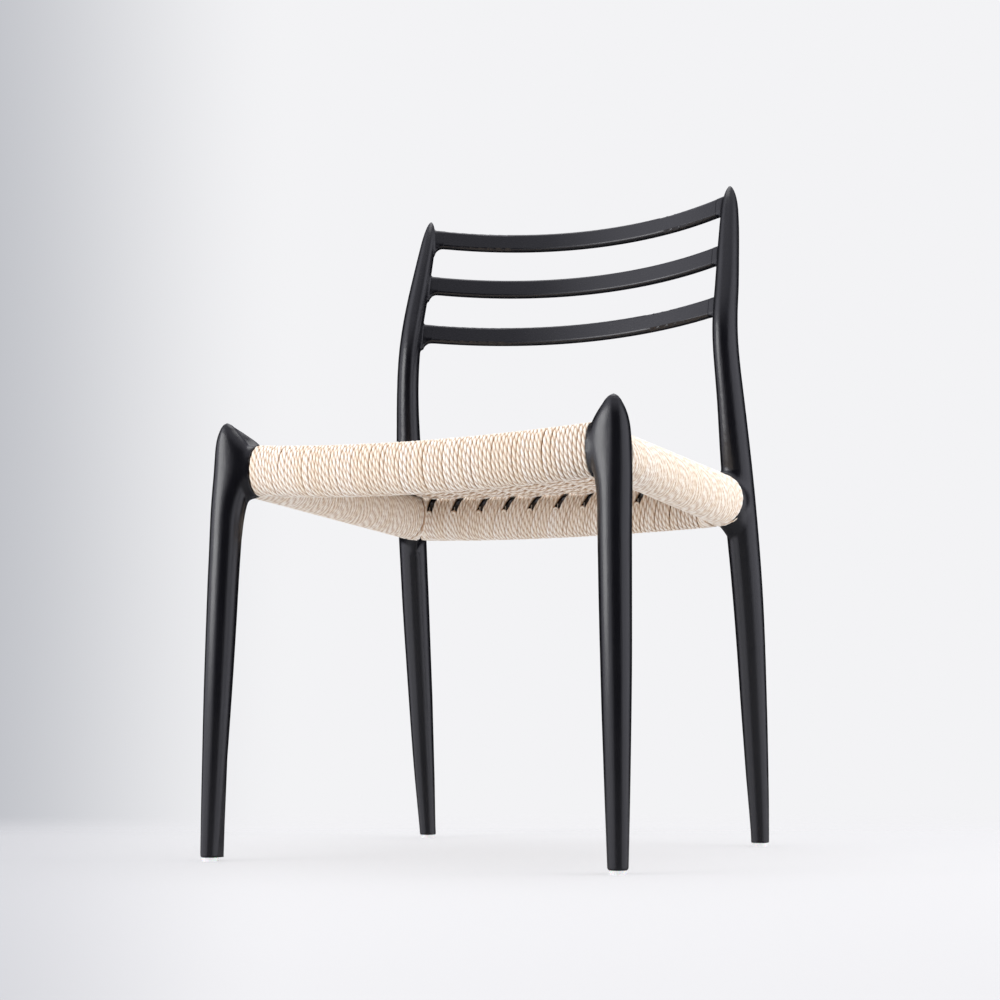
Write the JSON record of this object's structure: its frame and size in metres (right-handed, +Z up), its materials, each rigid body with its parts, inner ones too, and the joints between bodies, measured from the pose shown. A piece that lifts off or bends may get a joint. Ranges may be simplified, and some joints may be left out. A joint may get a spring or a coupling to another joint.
{
  "type": "dining chair",
  "caption": "Black lacquered wooden dining chair with pointed leg heads, bowed back slats and a seat woven from natural paper cord",
  "frame": {"origin": "middle of the floor under the chair: centre of the bounding box in plan, z = 0 at the glides' undersides", "axes": "+Z up, the front of the chair faces -Y, +X is the viewer's right when facing the front"},
  "size_m": [0.4954, 0.5245, 0.804],
  "materials": {
    "black_wood": "satin black lacquer over open grain",
    "paper_cord": "unbleached twisted paper",
    "nail_steel": "bright drawn wire",
    "white_plastic": "moulded"
  },
  "bodies": {
    "root": {"front_leg_left": "black_wood", "front_leg_right": "black_wood", "rear_leg_left": "black_wood", "rear_leg_right": "black_wood", "top_slat": "black_wood", "middle_slat": "black_wood", "lower_slat": "black_wood", "front_rail": "black_wood", "rear_rail": "black_wood", "left_rail": "black_wood", "right_rail": "black_wood", "front_rail_cord": "paper_cord", "rear_rail_cord": "paper_cord", "left_rail_cord": "paper_cord", "right_rail_cord": "paper_cord", "woven_seat": "paper_cord", "front_cord_nails": "nail_steel", "rear_cord_nails": "nail_steel", "glide_nails": "nail_steel", "front_glide_left": "white_plastic", "front_glide_right": "white_plastic", "rear_glide_left": "white_plastic", "rear_glide_right": "white_plastic"}
  },
  "joints": []
}
